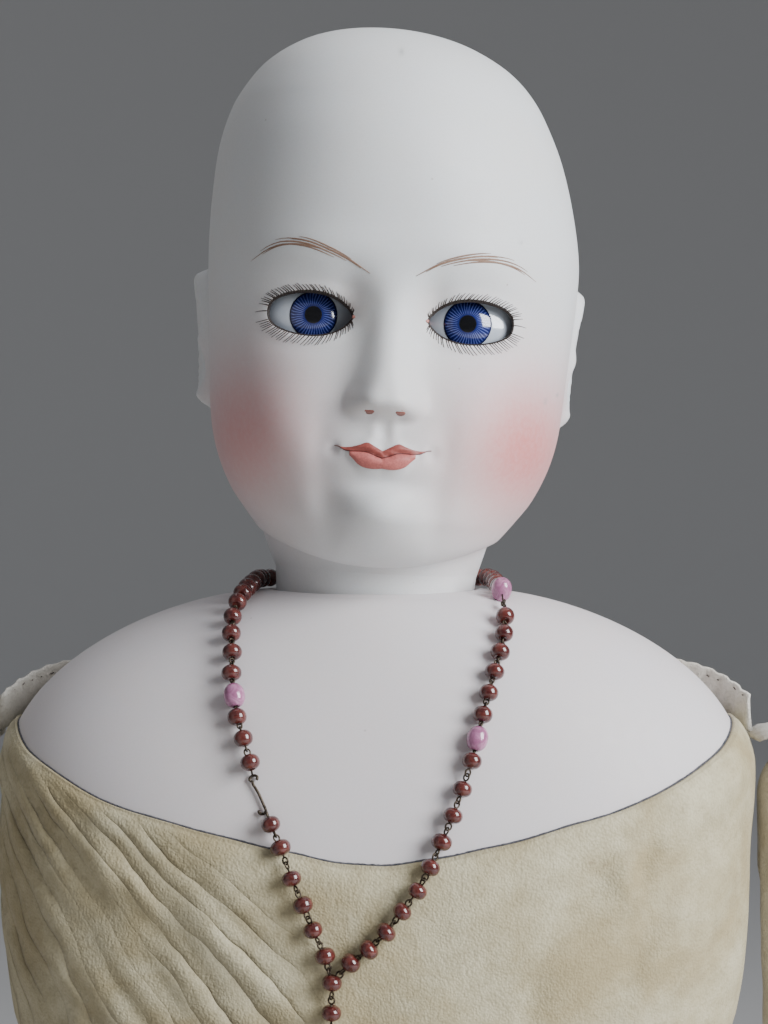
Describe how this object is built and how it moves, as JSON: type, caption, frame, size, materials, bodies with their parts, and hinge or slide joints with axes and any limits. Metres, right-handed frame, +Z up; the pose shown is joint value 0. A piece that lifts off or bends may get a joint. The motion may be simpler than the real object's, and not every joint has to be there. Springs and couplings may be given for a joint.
{
  "type": "porcelain doll",
  "caption": "Seated fashion doll with bisque swivel head, glass eyes, bisque shoulder plate, stuffed kid-leather body and bead necklace.",
  "frame": {"origin": "middle of the flat seat, on the surface the doll sits on", "axes": "+Z up through the crown, -Y the way the doll faces, +X towards the doll's own left arm"},
  "size_m": [0.214, 0.3756, 0.4004],
  "materials": {
    "bisque": "unglazed matte bisque with fine speckle",
    "cork": "raw cork",
    "white_glass": "polished opal glass",
    "cobalt_glass": "threaded cobalt glass",
    "clear_glass": "clear polished glass",
    "plaster": "set plaster",
    "wood": "turned wood",
    "steel": "dull steel",
    "kid_leather": "aged cream kid, fine pebbled grain",
    "white_kid": "off-white kid with raw edges",
    "sawdust": "packed sawdust",
    "red_bead": "glossy brick-red glass",
    "pink_bead": "glossy lavender-pink glass",
    "dark_wire": "darkened wire"
  },
  "bodies": {
    "torso": {"shoulder_plate": "bisque", "neck_socket_liner": "white_kid", "torso_cover": "kid_leather", "torso_stuffing": "sawdust", "necklace_back_strand": "red_bead", "necklace_right_pink_bead": "pink_bead", "necklace_right_middle": "red_bead", "necklace_hook": "dark_wire", "necklace_right_lower": "red_bead", "necklace_left_top_pink_bead": "pink_bead", "necklace_left_upper": "red_bead", "necklace_left_low_pink_bead": "pink_bead", "necklace_left_lower": "red_bead", "necklace_drop": "red_bead", "necklace_pendant_bead": "red_bead"},
    "neck_bolt": {"neck_bolt": "steel", "spring_washer": "steel", "neck_spring": "steel", "wing_nut": "steel"},
    "neck_rocker": {"neck_button": "wood"},
    "head": {"head_shell": "bisque", "crown_pate": "cork", "left_eye_globe": "white_glass", "left_eye_iris": "cobalt_glass", "left_eye_crystal": "clear_glass", "left_eye_plaster": "plaster", "right_eye_globe": "white_glass", "right_eye_iris": "cobalt_glass", "right_eye_crystal": "clear_glass", "right_eye_plaster": "plaster"},
    "left_shoulder": {"left_shoulder_tab": "white_kid"},
    "left_arm": {"left_upper_arm": "white_kid"},
    "left_lower_arm": {"left_forearm": "bisque"},
    "left_upper_leg": {"left_thigh": "kid_leather"},
    "left_lower_leg": {"left_shin": "kid_leather", "left_foot": "kid_leather"},
    "right_shoulder": {"right_shoulder_tab": "white_kid"},
    "right_arm": {"right_upper_arm": "white_kid"},
    "right_lower_arm": {"right_forearm": "bisque"},
    "right_upper_leg": {"right_thigh": "kid_leather"},
    "right_lower_leg": {"right_shin": "kid_leather", "right_foot": "kid_leather"}
  },
  "joints": [
    {"name": "head_turn", "type": "hinge", "parent": "torso", "child": "neck_bolt", "pos_m": [0, 0, 0.284], "axis": [0, 0, 1], "range_deg": [-30, 30]},
    {"name": "head_nod", "type": "hinge", "parent": "neck_bolt", "child": "neck_rocker", "pos_m": [0, 0, 0.284], "axis": [1, 0, 0], "range_deg": [-6, 0]},
    {"name": "head_roll", "type": "hinge", "parent": "neck_rocker", "child": "head", "pos_m": [0, 0, 0.284], "axis": [0, 1, 0], "range_deg": [-7, 3]},
    {"name": "left_shoulder_spread", "type": "hinge", "parent": "torso", "child": "left_shoulder", "pos_m": [0.08, 0.002, 0.254], "axis": [0, -1, 0], "range_deg": [0, 40]},
    {"name": "left_shoulder_swing", "type": "hinge", "parent": "left_shoulder", "child": "left_arm", "pos_m": [0.093, 0.002, 0.24], "axis": [-1, 0, 0], "range_deg": [-20, 80]},
    {"name": "left_elbow", "type": "hinge", "parent": "left_arm", "child": "left_lower_arm", "pos_m": [0.095, 0.005, 0.16], "axis": [-1, 0, 0], "range_deg": [-15, 60]},
    {"name": "left_hip", "type": "hinge", "parent": "torso", "child": "left_upper_leg", "pos_m": [0.033, -0.036, 0.032], "axis": [1, 0, 0], "range_deg": [0, 85]},
    {"name": "left_knee", "type": "hinge", "parent": "left_upper_leg", "child": "left_lower_leg", "pos_m": [0.034, -0.186, 0.024], "axis": [1, 0, 0], "range_deg": [0, 80]},
    {"name": "right_shoulder_spread", "type": "hinge", "parent": "torso", "child": "right_shoulder", "pos_m": [-0.08, 0.002, 0.254], "axis": [0, 1, 0], "range_deg": [0, 40]},
    {"name": "right_shoulder_swing", "type": "hinge", "parent": "right_shoulder", "child": "right_arm", "pos_m": [-0.093, 0.002, 0.24], "axis": [-1, 0, 0], "range_deg": [-20, 80]},
    {"name": "right_elbow", "type": "hinge", "parent": "right_arm", "child": "right_lower_arm", "pos_m": [-0.095, 0.005, 0.16], "axis": [-1, 0, 0], "range_deg": [-15, 60]},
    {"name": "right_hip", "type": "hinge", "parent": "torso", "child": "right_upper_leg", "pos_m": [-0.033, -0.036, 0.032], "axis": [1, 0, 0], "range_deg": [0, 85]},
    {"name": "right_knee", "type": "hinge", "parent": "right_upper_leg", "child": "right_lower_leg", "pos_m": [-0.034, -0.186, 0.024], "axis": [1, 0, 0], "range_deg": [0, 80]}
  ]
}
